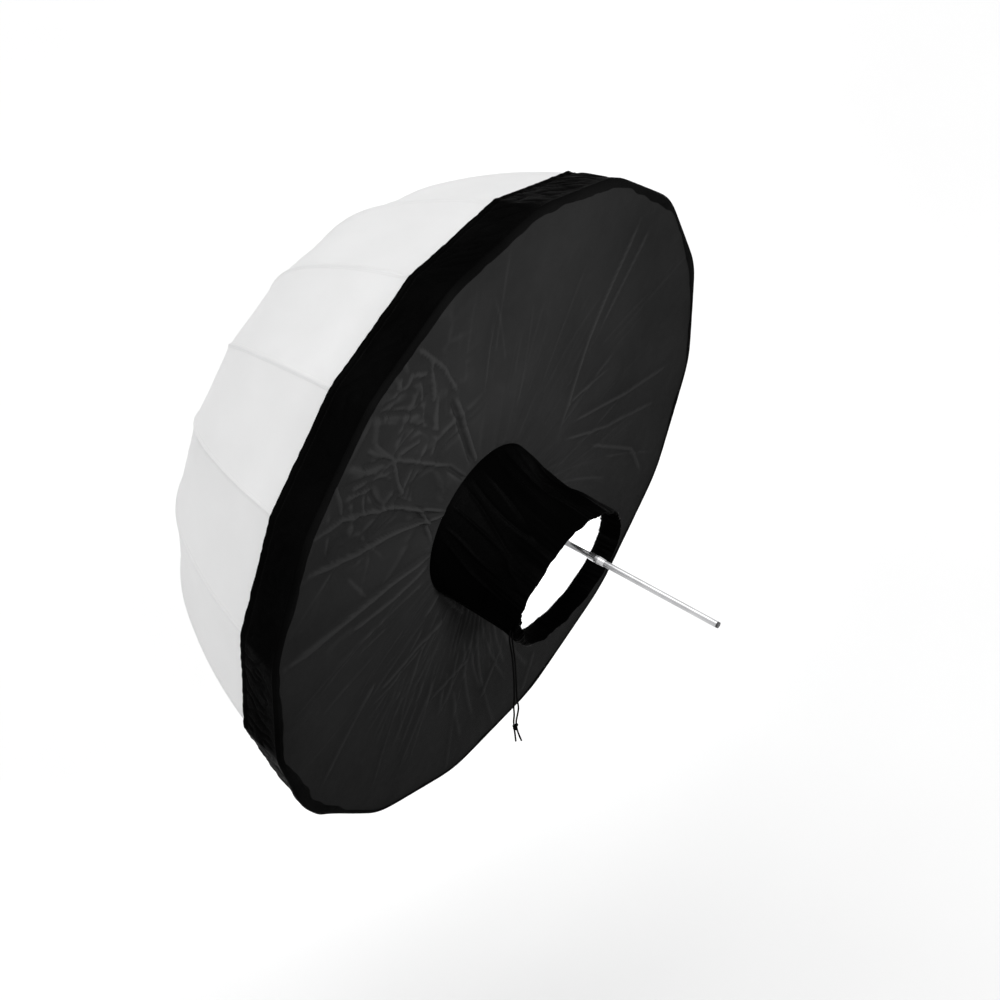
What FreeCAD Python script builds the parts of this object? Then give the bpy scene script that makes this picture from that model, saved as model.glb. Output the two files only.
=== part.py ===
"""Umbrella reflector: a translucent white dome on sixteen folding ribs, with a black pull-on back cover.

The shaft lies along Y. Everything is drawn about the middle of the rim plane, with +Y towards the dome's
crown and +Z up, and is moved at the end so that the origin lies on the shaft where a clamp holds it.
Lengths are millimetres.
"""
import FreeCAD, Part

import math
import os

V = FreeCAD.Vector

# Dome. Ribs stand at half-pitch angles, so that one fabric gore faces straight up.
RIBS = 16
PITCH = 360.0 / RIBS
HALF = PITCH / 2.0
COS_HALF = math.cos(math.radians(HALF))
RIM_R = 425.0            # outside of the fabric at a rib tip
DEPTH = 326.5            # rim plane to the top of the crown
RIM_LEAN = 13.9          # the profile's lean from the shaft's direction at the rim
SIDE_LEAN = 35.4         # and where the side runs into the shoulder
SHOULDER_LEAN = 84.9     # and where the shoulder runs into the flat crown
SHOULDER_R = 245.5
CLOTH = 0.6

# Shaft, counted from the rim plane.
ORIGIN_Y = -285.0        # where a grip's clamp holds the shaft
SHAFT_R = 4.0
BORE_R = 3.0
SHAFT_END = -325.0
SHAFT_TOP = 324.4
PLUG_R = 3.8
PLUG_HEAD = 2.5
PLUG_DEPTH = 12.0
CROWN_HOLE_R = 3.4

# Folding frame.
WIRE_R = 0.6             # ring wires that the ribs and stretchers hang on
EYE_R = 0.68
EYE_OUTER = 2.6
BLADE = 2.0              # flattened ends of ribs and stretchers
SLOT = 2.6
HINGE_R = 14.0           # radius of both ring wires
FLANGE_R = 18.0
SLOT_FLOOR_R = 10.5
CROWN_HINGE_Y = 318.0
ARM = 251.7              # crown hinge to rib pivot, and rib pivot to runner hinge
OPEN_ANGLE = 79.97       # arm to shaft when open, which puts the rivet on the rib's centre line
FOLD_ANGLE = 49.7
RUNNER_HINGE_Y = CROWN_HINGE_Y - 2 * ARM * math.cos(math.radians(OPEN_ANGLE))
TRAVEL = 2 * ARM * (math.cos(math.radians(OPEN_ANGLE - FOLD_ANGLE)) - math.cos(math.radians(OPEN_ANGLE)))
RIB_INSET = 4.2          # rib's centre line inside the fabric's outer face
RIB_W = 3.2
RIB_WALL = 0.6
FORK_GAP = 0.25
FORK_EAR = 0.9
FORK_LENGTH = 6.5
RIVET_R = 1.0
RIVET_HEAD_R = 1.7
RIVET_HEAD = 0.6
TIP_R = 2.1              # blind cap on each rib's end
TIP_LENGTH = 12.0
TIP_OVER = 1.6           # how far the cap reaches past the rib
HUB_BELOW = 7.0          # crown hub, from its hinge wire down
NECK_R = 7.5
NECK = 10.0
CAP_R = 16.0
CAP_FLANGE = 2.5
CAP_STEM = 18.0
RUNNER_R = 8.0
RUNNER_BELOW = 24.0      # runner, from its hinge wire down and up
RUNNER_ABOVE = 6.0
COLLAR_R = 10.0
COLLAR = 4.0
SLIDING_GAP = 0.06

# Back cover: a face over the rim, a skirt round the outside and a sleeve off to one side.
FACE_VERTEX_R = 430.0
FACE_Y = -1.0
SKIRT_VERTEX_R = 408.5
SKIRT_Y = 65.7
ELASTIC_SPAN = (0.92, 0.99)   # shares of the skirt's depth
ELASTIC_T = 1.8
SLEEVE_R = 100.0
SLEEVE_X, SLEEVE_Z = -43.0, 17.0
SLEEVE_Y = -10.0
MOUTH_HALF_X, MOUTH_HALF_Z = 109.0, 77.0
MOUTH_X, MOUTH_Z = -16.0, -36.0
MOUTH_Y = -122.0
HEM = 22.0
CHANNEL = 2.4            # gap in the hem that the drawcord lies in
CORD_D = 2.2


def rad(angle):
    return math.radians(angle)


def about_shaft(shape, angle):
    """Turn a shape drawn in the X-Y plane so that its X axis points at this angle round the shaft."""
    return shape.rotated(V(0, 0, 0), V(0, 1, 0), -angle)


def rib_angle(number):
    return HALF + PITCH * number


def cylinder(radius, start, end):
    """A cylinder on the shaft's axis between two Y values."""
    return Part.makeCylinder(radius, end - start, V(0, start, 0), V(0, 1, 0))


def block(low, high):
    return Part.makeBox(high[0] - low[0], high[1] - low[1], high[2] - low[2], V(*low))


# ---- the dome's profile: three tangent arcs from the rim to the crown ----

def profile(rim_r, shoulder_r):
    """Arcs as (centre x, centre y, radius, first lean, last lean).

    The point at a lean is the centre plus the radius times (cos lean, sin lean).
    """
    leans = [rad(RIM_LEAN), rad(SIDE_LEAN), rad(SHOULDER_LEAN), rad(90)]
    run = [math.cos(b) - math.cos(a) for a, b in zip(leans, leans[1:])]
    rise = [math.sin(b) - math.sin(a) for a, b in zip(leans, leans[1:])]
    left_x = -rim_r - shoulder_r * run[1]
    left_y = DEPTH - shoulder_r * rise[1]
    det = run[0] * rise[2] - run[2] * rise[0]
    side_r = (left_x * rise[2] - run[2] * left_y) / det
    crown_r = (run[0] * left_y - left_x * rise[0]) / det
    arcs = []
    x, y = rim_r, 0.0
    for radius, first, last in zip((side_r, shoulder_r, crown_r), leans, leans[1:]):
        cx = x - radius * math.cos(first)
        cy = y - radius * math.sin(first)
        arcs.append((cx, cy, radius, first, last))
        x = cx + radius * math.cos(last)
        y = cy + radius * math.sin(last)
    return arcs


def arc_point(arc, lean, inset):
    cx, cy, radius = arc[:3]
    return V(cx + (radius - inset) * math.cos(lean), cy + (radius - inset) * math.sin(lean), 0)


def trimmed(arcs, first_lean, last_lean):
    """The arcs between two leans."""
    kept = []
    for cx, cy, radius, first, last in arcs:
        low, high = max(first, first_lean), min(last, last_lean)
        if high - low > 1e-6:
            kept.append((cx, cy, radius, low, high))
    return kept


def band(arcs, near, far, width):
    """A strip that follows the arcs from one inset to another, centred on the X-Y plane."""
    edges = []
    for inset in (near, far):
        for arc in arcs:
            first, last = arc[3], arc[4]
            ends = [arc_point(arc, lean, inset) for lean in (first, (first + last) / 2, last)]
            edges.append(Part.Arc(*ends).toShape())
    for arc, lean in ((arcs[0], arcs[0][3]), (arcs[-1], arcs[-1][4])):
        edges.append(Part.LineSegment(arc_point(arc, lean, near), arc_point(arc, lean, far)).toShape())
    wire = Part.Wire(Part.__sortEdges__(edges))
    face = Part.Face(wire)
    face.translate(V(0, 0, -width / 2))
    return face.extrude(V(0, 0, width))


RIB_ARCS = profile(RIM_R, SHOULDER_R)
GORE_ARCS = profile(RIM_R * COS_HALF, SHOULDER_R * 0.96)


def canopy():
    """Sixteen gores, each flat from rib to rib, round a hole for the crown cap's stem."""
    reach = 2 * RIM_R
    spread = reach * math.tan(rad(HALF))
    corners = [V(0, -50, 0), V(reach, -50, -spread), V(reach, -50, spread), V(0, -50, 0)]
    wedge = Part.Face(Part.makePolygon(corners)).extrude(V(0, DEPTH + 100, 0))
    gore = band(GORE_ARCS, 0, CLOTH, RIM_R).common(wedge)
    gore = gore.cut(cylinder(CROWN_HOLE_R, DEPTH - 20, DEPTH + 20)).Solids[0]
    return [about_shaft(gore, PITCH * number) for number in range(RIBS)]


# ---- ribs and stretchers ----

def rod(start, end, low, high, width):
    """A flat bar in the X-Y plane from start to end. low and high are its edges, left of its direction."""
    along = (end - start).normalize()
    side = V(-along.y, along.x, 0)
    corners = [start + side * low, end + side * low, end + side * high, start + side * high]
    face = Part.Face(Part.makePolygon(corners + corners[:1]))
    face.translate(V(0, 0, -width / 2))
    return face.extrude(V(0, 0, width))


def disc(centre, radius, width):
    return Part.makeCylinder(radius, width, centre - V(0, 0, width / 2), V(0, 0, 1))


def crown_hinge():
    return V(HINGE_R, CROWN_HINGE_Y, 0)


def runner_hinge():
    return V(HINGE_R, RUNNER_HINGE_Y, 0)


def rib_pivot():
    angle = rad(OPEN_ANGLE)
    return crown_hinge() + V(ARM * math.sin(angle), -ARM * math.cos(angle), 0)


def rib():
    """A fluted steel rib with a flattened eye at the crown, its rivet, and the tip that holds the fabric."""
    tip_lean = rad(RIM_LEAN + 0.5)
    crown_lean = rad(89.0)
    arcs = trimmed(RIB_ARCS, tip_lean, crown_lean)
    half = RIB_W / 2
    channel = band(arcs, RIB_INSET - half, RIB_INSET + half, RIB_W)
    flute = band(arcs, RIB_INSET - half + RIB_WALL, RIB_INSET + half + 1, RIB_W - 2 * RIB_WALL)
    pivot = rib_pivot()
    boss = disc(pivot, RIB_W * 0.62, RIB_W)
    end = arc_point(arcs[-1], crown_lean, RIB_INSET)
    blade = rod(crown_hinge(), end, -half, half, BLADE).fuse(disc(crown_hinge(), EYE_OUTER, BLADE))
    body = channel.cut(flute).fuse(boss).fuse(blade)
    body = body.cut(disc(crown_hinge(), EYE_R, 2 * BLADE))
    body = body.cut(disc(pivot, RIVET_R, 2 * RIB_W)).removeSplitter()
    # the rivet's heads close over the fork's ears
    head = RIB_W / 2 + FORK_GAP + FORK_EAR + FORK_GAP
    rivet = disc(pivot, RIVET_R, 2 * head)
    for side in (-1, 1):
        cap = disc(pivot + V(0, 0, side * (head + RIVET_HEAD / 2)), RIVET_HEAD_R, RIVET_HEAD)
        rivet = rivet.fuse(cap)
    # the tip is a blind cap pushed over the rib's end
    foot = arc_point(arcs[0], tip_lean, RIB_INSET)
    along = V(-math.sin(tip_lean), math.cos(tip_lean), 0)
    tip = Part.makeCylinder(TIP_R, TIP_LENGTH, foot - along * TIP_OVER, along).cut(body)
    tip = max(tip.Solids, key=lambda solid: solid.Volume)
    return [body, rivet.removeSplitter(), tip]


def stretcher():
    """A fluted bar with a fork over the rib and an open jaw that hooks on the runner's ring wire."""
    pivot, hinge = rib_pivot(), runner_hinge()
    along = (pivot - hinge).normalize()
    half = RIB_W / 2
    blade_end = hinge + along * 16
    web = pivot - along * FORK_LENGTH
    blade = rod(hinge, blade_end, -half, half, BLADE).fuse(disc(hinge, EYE_OUTER, BLADE))
    bar = rod(hinge + along * 14, web, -half, half, RIB_W)
    flute = rod(hinge + along * 20, web - along * 8, -half - 1, half - RIB_WALL, RIB_W - 2 * RIB_WALL)
    outer = RIB_W + 2 * (FORK_GAP + FORK_EAR)
    fork = rod(web - along * 5, pivot, -half, half, outer).fuse(disc(pivot, half, outer))
    mouth = rod(web, pivot + along * 4, -half - 2, half + 2, RIB_W + 2 * FORK_GAP)
    body = bar.cut(flute).fuse(blade).fuse(fork.cut(mouth))
    body = body.cut(disc(pivot, RIVET_R + SLIDING_GAP, outer * 2))
    # the jaw opens over the angles by which the ring wire leaves it as the frame folds
    body = body.cut(disc(hinge, EYE_R, 2 * BLADE))
    start, stop = 90 - FOLD_ANGLE, 90.0
    for angle in (start, (start + stop) / 2, stop):
        leave = V(math.cos(rad(angle)), math.sin(rad(angle)), 0)
        body = body.cut(rod(hinge, hinge + leave * 5, -EYE_R * 1.25, EYE_R * 1.25, 2 * BLADE))
    solid = max(body.Solids, key=lambda piece: piece.Volume)
    return solid.removeSplitter()


# ---- hub, runner and shaft ----

def slots(start, end):
    """One radial slot per rib, open at both ends."""
    slot = block((SLOT_FLOOR_R, start, -SLOT / 2), (FLANGE_R + 5, end, SLOT / 2))
    cutters = [about_shaft(slot, rib_angle(number)) for number in range(RIBS)]
    return cutters[0].fuse(cutters[1:])


def ring_wire(hinge_y):
    return Part.makeTorus(HINGE_R, WIRE_R, V(0, hinge_y, 0), V(0, 1, 0))


def crown_hub():
    low, high = CROWN_HINGE_Y - HUB_BELOW, SHAFT_TOP
    hub = cylinder(FLANGE_R, low, high).fuse(cylinder(NECK_R, low - NECK, low))
    hub = hub.cut(slots(low - 1, high + 1)).cut(cylinder(SHAFT_R, low - NECK - 1, high + 1))
    return hub.cut(ring_wire(CROWN_HINGE_Y)).removeSplitter()


def crown_cap():
    """Domed cap outside the fabric, with a stem pushed into the shaft."""
    rise = 10.8
    top = DEPTH + CAP_FLANGE
    flange = cylinder(CAP_R, DEPTH, top)
    dome = Part.makeSphere(CAP_R, V(0, DEPTH + rise - CAP_R, 0)).common(cylinder(11.0, top, DEPTH + CAP_R))
    stem = cylinder(BORE_R, SHAFT_TOP - CAP_STEM, DEPTH)
    return flange.fuse(dome).fuse(stem).removeSplitter()


def runner():
    """Slotted flange on a sleeve that runs along the shaft, with a finger collar at its foot."""
    low, high = RUNNER_HINGE_Y - RUNNER_BELOW, RUNNER_HINGE_Y + RUNNER_ABOVE
    flange = cylinder(FLANGE_R, RUNNER_HINGE_Y - 6, high).cut(slots(low, high + 1))
    sleeve = cylinder(RUNNER_R, low, high)
    collar = cylinder(COLLAR_R, low, low + COLLAR)
    body = flange.fuse(sleeve).fuse(collar)
    body = body.cut(cylinder(SHAFT_R + SLIDING_GAP, low - 1, high + 1))
    return body.cut(ring_wire(RUNNER_HINGE_Y)).removeSplitter()


CATCH_TOP = RUNNER_HINGE_Y - RUNNER_BELOW - 0.3
CATCH_PIVOT = V(0, CATCH_TOP - 14, 0)
CATCH_T = 1.8
CATCH_PIN_R = 0.6
FERRULE_R = 5.2          # tapered stop crimped on the shaft below the folded runner
FERRULE_END_R = 4.3
FERRULE_HALF = 11.0
STOP_GAP = 0.7
STOP_Y = RUNNER_HINGE_Y - TRAVEL - RUNNER_BELOW - STOP_GAP - FERRULE_HALF
NECK_R = 3.7             # the shaft is swaged down to this inside the ferrule


def catch():
    """Sprung leaf whose nose stands out of the shaft and holds the runner up."""
    outline = [(-3, -1.2), (-3, 1.2), (4, 2.6), (14, 5.8), (14, 0.6), (4, -1.2)]
    corners = [CATCH_PIVOT + V(-CATCH_T / 2, y, z) for y, z in outline]
    leaf = Part.Face(Part.makePolygon(corners + corners[:1])).extrude(V(CATCH_T, 0, 0))
    hole = Part.makeCylinder(CATCH_PIN_R + 0.05, 8, CATCH_PIVOT - V(4, 0, 0), V(1, 0, 0))
    return leaf.cut(hole)


def catch_pin():
    return Part.makeCylinder(CATCH_PIN_R, 2 * SHAFT_R - 0.4, CATCH_PIVOT - V(SHAFT_R - 0.2, 0, 0), V(1, 0, 0))


def stop_ferrule():
    """A spindle-shaped ferrule that fills the shaft's narrower neck."""
    outline = [(0, -FERRULE_HALF), (FERRULE_END_R, -FERRULE_HALF), (FERRULE_R, -2), (FERRULE_R, 2)]
    outline += [(FERRULE_END_R, FERRULE_HALF), (0, FERRULE_HALF)]
    corners = [V(r, STOP_Y + y, 0) for r, y in outline]
    spindle = Part.Face(Part.makePolygon(corners + corners[:1])).revolve(V(0, 0, 0), V(0, 1, 0), 360)
    return spindle.cut(cylinder(NECK_R, STOP_Y - FERRULE_HALF - 1, STOP_Y + FERRULE_HALF + 1))


def shaft():
    tube = cylinder(SHAFT_R, SHAFT_END, SHAFT_TOP).cut(cylinder(BORE_R, SHAFT_END - 1, SHAFT_TOP + 1))
    low = (-CATCH_T / 2 - 0.2, CATCH_PIVOT.y - 1, 0.5)
    high = (CATCH_T / 2 + 0.2, CATCH_TOP + 1, SHAFT_R + 2)
    tube = tube.cut(block(low, high)).cut(catch_pin())
    low, high = STOP_Y - FERRULE_HALF, STOP_Y + FERRULE_HALF
    return tube.cut(cylinder(SHAFT_R + 2, low, high).cut(cylinder(NECK_R, low, high)))


def shaft_plug():
    head = cylinder(PLUG_R, SHAFT_END - PLUG_HEAD, SHAFT_END)
    return head.fuse(cylinder(BORE_R, SHAFT_END, SHAFT_END + PLUG_DEPTH)).removeSplitter()


# ---- back cover: rings of flat panels, each ring a polygon with one side per gore ----

def regular(vertex_radius, x=0.0, z=0.0):
    """Distances from the shaft's axis of the sides of a regular polygon centred at x, z."""
    inner = vertex_radius * COS_HALF
    return [inner + x * math.cos(rad(PITCH * k)) + z * math.sin(rad(PITCH * k)) for k in range(RIBS)]


def mouth_sides():
    """The same for the oval mouth of the sleeve."""
    sides = []
    for k in range(RIBS):
        c, s = math.cos(rad(PITCH * k)), math.sin(rad(PITCH * k))
        sides.append(math.hypot(MOUTH_HALF_X * c, MOUTH_HALF_Z * s) + MOUTH_X * c + MOUTH_Z * s)
    return sides


def corner(sides, k, y):
    """The corner between side k and the next one, at this Y."""
    first, second = sides[k % RIBS], sides[(k + 1) % RIBS]
    a, b = rad(PITCH * k), rad(PITCH * (k + 1))
    turn = math.sin(b - a)
    x = (first * math.sin(b) - second * math.sin(a)) / turn
    z = (second * math.cos(a) - first * math.cos(b)) / turn
    return V(x, y, z)


def inset(sides, distance):
    return [side - distance for side in sides]


def between(first, second, share):
    return [a + (b - a) * share for a, b in zip(first, second)]


def plate(low, high):
    """A six-sided solid from four corners and the four opposite them."""
    faces = [low, high]
    for n in range(4):
        m = (n + 1) % 4
        faces.append([low[n], low[m], high[m], high[n]])
    shell = Part.Shell([Part.Face(Part.makePolygon(face + face[:1])) for face in faces])
    solid = Part.Solid(shell)
    if solid.Volume < 0:
        solid.reverse()
    return solid


def tube_wall(sides_a, y_a, sides_b, y_b, outer, inner):
    """Flat panels between two polygons, from one inset to another."""
    plates = []
    for k in range(RIBS):
        rings = []
        for depth in (outer, inner):
            a, b = inset(sides_a, depth), inset(sides_b, depth)
            rings.append([corner(a, k - 1, y_a), corner(a, k, y_a), corner(b, k, y_b), corner(b, k - 1, y_b)])
        plates.append(plate(*rings))
    return plates


FACE = regular(FACE_VERTEX_R)
SKIRT = regular(SKIRT_VERTEX_R)
BASE = regular(SLEEVE_R, SLEEVE_X, SLEEVE_Z)
MOUTH = mouth_sides()


def panel_face():
    hole = inset(BASE, CLOTH)
    plates = []
    for k in range(RIBS):
        top = [corner(FACE, k - 1, FACE_Y), corner(FACE, k, FACE_Y)]
        top += [corner(hole, k, SLEEVE_Y), corner(hole, k - 1, SLEEVE_Y)]
        plates.append(plate(top, [point - V(0, CLOTH, 0) for point in top]))
    return plates


def panel_skirt():
    return tube_wall(FACE, FACE_Y, SKIRT, SKIRT_Y, 0, CLOTH)


def skirt_elastic():
    low, high = ELASTIC_SPAN
    y_low, y_high = (FACE_Y + (SKIRT_Y - FACE_Y) * share for share in (low, high))
    rings = between(FACE, SKIRT, low), between(FACE, SKIRT, high)
    return tube_wall(rings[0], y_low, rings[1], y_high, CLOTH, CLOTH + ELASTIC_T)


def sleeve_ring(y_first, y_last, outer, inner):
    """Part of the sleeve's wall between two Y values."""
    share = [(y - SLEEVE_Y + CLOTH) / (MOUTH_Y - SLEEVE_Y + CLOTH) for y in (y_first, y_last)]
    sides = [between(BASE, MOUTH, part) for part in share]
    return tube_wall(sides[0], y_first, sides[1], y_last, outer, inner)


def panel_sleeve():
    return sleeve_ring(SLEEVE_Y - CLOTH, MOUTH_Y, 0, CLOTH)


def sleeve_hem():
    """Tape sewn inside the mouth, standing off the wall to leave the drawcord's channel."""
    return sleeve_ring(MOUTH_Y + HEM, MOUTH_Y, CLOTH + CHANNEL, 2 * CLOTH + CHANNEL)


def drawcord_loop():
    middle = MOUTH_Y + HEM * 0.25
    return sleeve_ring(middle + CORD_D / 2, middle - CORD_D / 2, CLOTH + 0.1, CLOTH + 0.1 + CORD_D)


# ---- drawcord ends, hanging out of the hem ----

EXIT_X = MOUTH_X - MOUTH_HALF_X

STRAND_A = [
    (EXIT_X - 1.9, -117.8, -35.6),
    (-132.0, -119.6, -42.5),
    (-133.1, -122.5, -54.8),
    (-131.4, -124.4, -73.9),
    (-129.5, -125.3, -102.5),
    (-128.6, -126.0, -130.8),
    (-128.3, -126.4, -154.1),
    (-129.1, -125.8, -167.8),
    (-128.1, -126.6, -181.5),
    (-129.1, -126.2, -194.6),
    (-128.4, -126.8, -207.7),
    (-127.1, -127.6, -220.7),
    (-126.4, -128.2, -232.7),
]

STRAND_B = [
    (EXIT_X - 1.2, -120.4, -38.2),
    (-129.9, -122.5, -45.7),
    (-131.1, -125.2, -58.0),
    (-129.6, -126.8, -76.8),
    (-128.0, -127.7, -105.1),
    (-127.1, -128.3, -133.0),
    (-126.4, -129.0, -155.8),
    (-124.8, -130.6, -168.9),
    (-125.7, -129.6, -182.5),
    (-127.4, -128.6, -195.0),
    (-126.6, -129.4, -208.1),
    (-124.5, -131.4, -220.7),
    (-122.2, -133.6, -231.6),
]

KNOT_CENTRE = V(-127.3, -127.9, -205.5)
KNOT_R = 5.2


def cord(name, route):
    """A round tube along straight runs joined by tangent arcs, with its radii and volume printed."""
    points = [V(*point) for point in route]
    edges = []
    start = points[0]
    radii = []
    for before, here, after in zip(points, points[1:], points[2:]):
        come, leave = here - before, after - here
        turn = come.getAngle(leave)
        shorter = min(come.Length, leave.Length)
        cut = 0.45 * shorter
        radius = cut / math.tan(turn / 2)
        radii.append(round(radius, 1))
        first = here - V(come).normalize() * cut
        last = here + V(leave).normalize() * cut
        inward = (V(leave).normalize() - V(come).normalize()).normalize()
        middle = here + inward * (radius / math.cos(turn / 2) - radius)
        edges.append(Part.LineSegment(start, first).toShape())
        edges.append(Part.Arc(first, middle, last).toShape())
        start = last
    edges.append(Part.LineSegment(start, points[-1]).toShape())
    path = Part.Wire(edges)
    ring = Part.Wire(Part.Circle(points[0], points[1] - points[0], CORD_D / 2).toShape())
    tube = path.makePipeShell([ring], True, True)
    section = math.pi * CORD_D ** 2 / 4
    print(name, "length", round(path.Length, 1), "radii", radii)
    print(name, "volume over section times length", round(tube.Volume / (section * path.Length), 4))
    return tube


def write(name, solids):
    """Move a part's solids to the grip's origin and write them."""
    if not isinstance(solids, list):
        solids = [solids]
    shape = solids[0] if len(solids) == 1 else Part.makeCompound(solids)
    shape = shape.copy()
    shape.translate(V(0, -ORIGIN_Y, 0))
    if not shape.isValid():
        print("not valid:", name)
    shape.exportStep("parts/" + name + ".step")


def main():
    os.makedirs("parts", exist_ok=True)
    rib_solids, stretcher_solid = rib(), stretcher()
    for number in range(RIBS):
        label = "%02d" % (number + 1)
        angle = rib_angle(number)
        write("rib_" + label, [about_shaft(solid, angle) for solid in rib_solids])
        write("stretcher_" + label, about_shaft(stretcher_solid, angle))
    write("shaft", shaft())
    write("shaft_plug", shaft_plug())
    write("stop_ferrule", stop_ferrule())
    write("crown_hub", crown_hub())
    write("crown_hub_wire", ring_wire(CROWN_HINGE_Y))
    write("crown_cap", crown_cap())
    write("runner", runner())
    write("runner_wire", ring_wire(RUNNER_HINGE_Y))
    write("runner_catch", catch())
    write("catch_pin", catch_pin())
    write("canopy", canopy())
    write("panel_face", panel_face())
    write("panel_skirt", panel_skirt())
    write("skirt_elastic", skirt_elastic())
    write("panel_sleeve", panel_sleeve())
    write("sleeve_hem", sleeve_hem())
    write("drawcord_loop", drawcord_loop())
    write("drawcord_end_a", cord("drawcord_end_a", STRAND_A))
    write("drawcord_end_b", cord("drawcord_end_b", STRAND_B))
    write("cord_knot", Part.makeSphere(KNOT_R, KNOT_CENTRE))
    print("runner travel", round(TRAVEL, 2), "runner hinge", round(RUNNER_HINGE_Y - ORIGIN_Y, 3))
    print("stop ferrule at", round(STOP_Y - ORIGIN_Y, 3))


main()
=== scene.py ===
import math

import bpy
import numpy as np
from mathutils import Matrix, Vector, noise


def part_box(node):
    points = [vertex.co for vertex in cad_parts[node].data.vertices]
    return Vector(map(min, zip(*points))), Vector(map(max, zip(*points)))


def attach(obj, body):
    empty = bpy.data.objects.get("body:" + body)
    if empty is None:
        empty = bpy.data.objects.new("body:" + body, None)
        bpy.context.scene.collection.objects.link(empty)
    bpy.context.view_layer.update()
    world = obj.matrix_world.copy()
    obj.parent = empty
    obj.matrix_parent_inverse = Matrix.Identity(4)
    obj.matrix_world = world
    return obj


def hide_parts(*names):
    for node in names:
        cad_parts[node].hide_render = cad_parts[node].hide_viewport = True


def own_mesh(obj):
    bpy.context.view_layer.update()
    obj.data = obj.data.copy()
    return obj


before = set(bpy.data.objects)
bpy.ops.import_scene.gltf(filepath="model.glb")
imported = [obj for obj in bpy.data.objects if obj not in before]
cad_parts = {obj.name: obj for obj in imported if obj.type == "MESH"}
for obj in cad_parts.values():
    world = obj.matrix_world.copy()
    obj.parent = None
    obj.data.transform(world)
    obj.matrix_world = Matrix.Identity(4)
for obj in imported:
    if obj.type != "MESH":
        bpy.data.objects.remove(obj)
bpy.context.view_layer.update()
scene = bpy.context.scene

# ---- sizes, in metres, from the CAD nodes' boxes ----

MM = 0.001
GORES = 16
PITCH = math.tau / GORES
HALF = PITCH / 2
RIM_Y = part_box("canopy")[0].y
CROWN_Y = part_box("canopy")[1].y
RIM_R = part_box("canopy")[1].z / math.cos(HALF)          # outside of the fabric at a rib tip
DEPTH = CROWN_Y - RIM_Y
FACE_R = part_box("panel_face")[1].z / math.cos(HALF)     # the cover's corners, at the rim
SKIRT_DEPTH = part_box("panel_skirt")[1].y - RIM_Y
SKIRT_R = 408.5 * MM
SLEEVE_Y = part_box("panel_sleeve")[1].y
MOUTH_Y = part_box("panel_sleeve")[0].y
SLEEVE_CENTRE = (-43 * MM, 17 * MM)
SLEEVE_R = 100 * MM
MOUTH_CENTRE = (-16 * MM, -39 * MM)
MOUTH_HALF = (109 * MM, 73 * MM)
HEM = 22 * MM
CORD_D = 2.2 * MM

# The dome's profile is the CAD's: three tangent arcs between these leans.
LEANS = [math.radians(angle) for angle in (13.9, 35.4, 84.9, 90)]
RIB_SHOULDER = 245.5 * MM
GORE_SHOULDER = RIB_SHOULDER * 0.96


# ---- camera, at the photograph's viewing angle ----

AZIMUTH, ELEVATION = math.radians(-53.579), math.radians(47.183)
SHAFT_TURN = math.radians(-0.859)       # the whole view's turn about the shaft
DISTANCE = 4.587                        # from the rim plane's centre
RIGHT_BY, UP_BY = 0.0068, 0.0046        # sideways and upwards in the picture's plane
LENS, SENSOR = 136.76, 36               # in millimetres


def aim_camera():
    flat = math.cos(ELEVATION)
    about_shaft = Matrix.Rotation(SHAFT_TURN, 3, "Y")
    back = about_shaft @ Vector((math.sin(AZIMUTH) * flat, -math.cos(AZIMUTH) * flat, math.sin(ELEVATION)))
    right = about_shaft @ Vector((math.cos(AZIMUTH), math.sin(AZIMUTH), 0))
    up = back.cross(right)
    camera = bpy.data.objects.new("camera", bpy.data.cameras.new("camera"))
    scene.collection.objects.link(camera)
    camera.data.lens = LENS
    camera.data.sensor_width = SENSOR
    camera.data.clip_end = 50
    camera.location = Vector((0, RIM_Y, 0)) + right * RIGHT_BY + up * UP_BY + back * DISTANCE
    camera.rotation_mode = "QUATERNION"
    camera.rotation_quaternion = Matrix((right, up, back)).transposed().to_quaternion()
    scene.camera = camera


aim_camera()


# ---- helpers: meshes ----

def grid_faces(rows, columns, closed=False):
    """Quads of a grid stored row by row. A closed grid's last column meets its first."""
    faces = []
    last = columns if closed else columns - 1
    for r in range(rows - 1):
        for c in range(last):
            d = (c + 1) % columns
            faces.append((r * columns + c, r * columns + d, (r + 1) * columns + d, (r + 1) * columns + c))
    return faces


def grid_normals(grid, closed):
    """Unit normals of a grid of points, on the side its own winding gives."""
    along = np.gradient(grid, axis=0)
    if closed:
        across = (np.roll(grid, -1, axis=1) - np.roll(grid, 1, axis=1)) / 2
    else:
        across = np.gradient(grid, axis=1)
    normals = np.cross(across, along)
    return normals / np.maximum(np.linalg.norm(normals, axis=2, keepdims=True), 1e-12)


def outward_normals(grid, closed, outside):
    """The same, turned to the side that the outside vectors point to."""
    normals = grid_normals(grid, closed)
    return normals if (normals * outside).sum() > 0 else -normals


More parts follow.
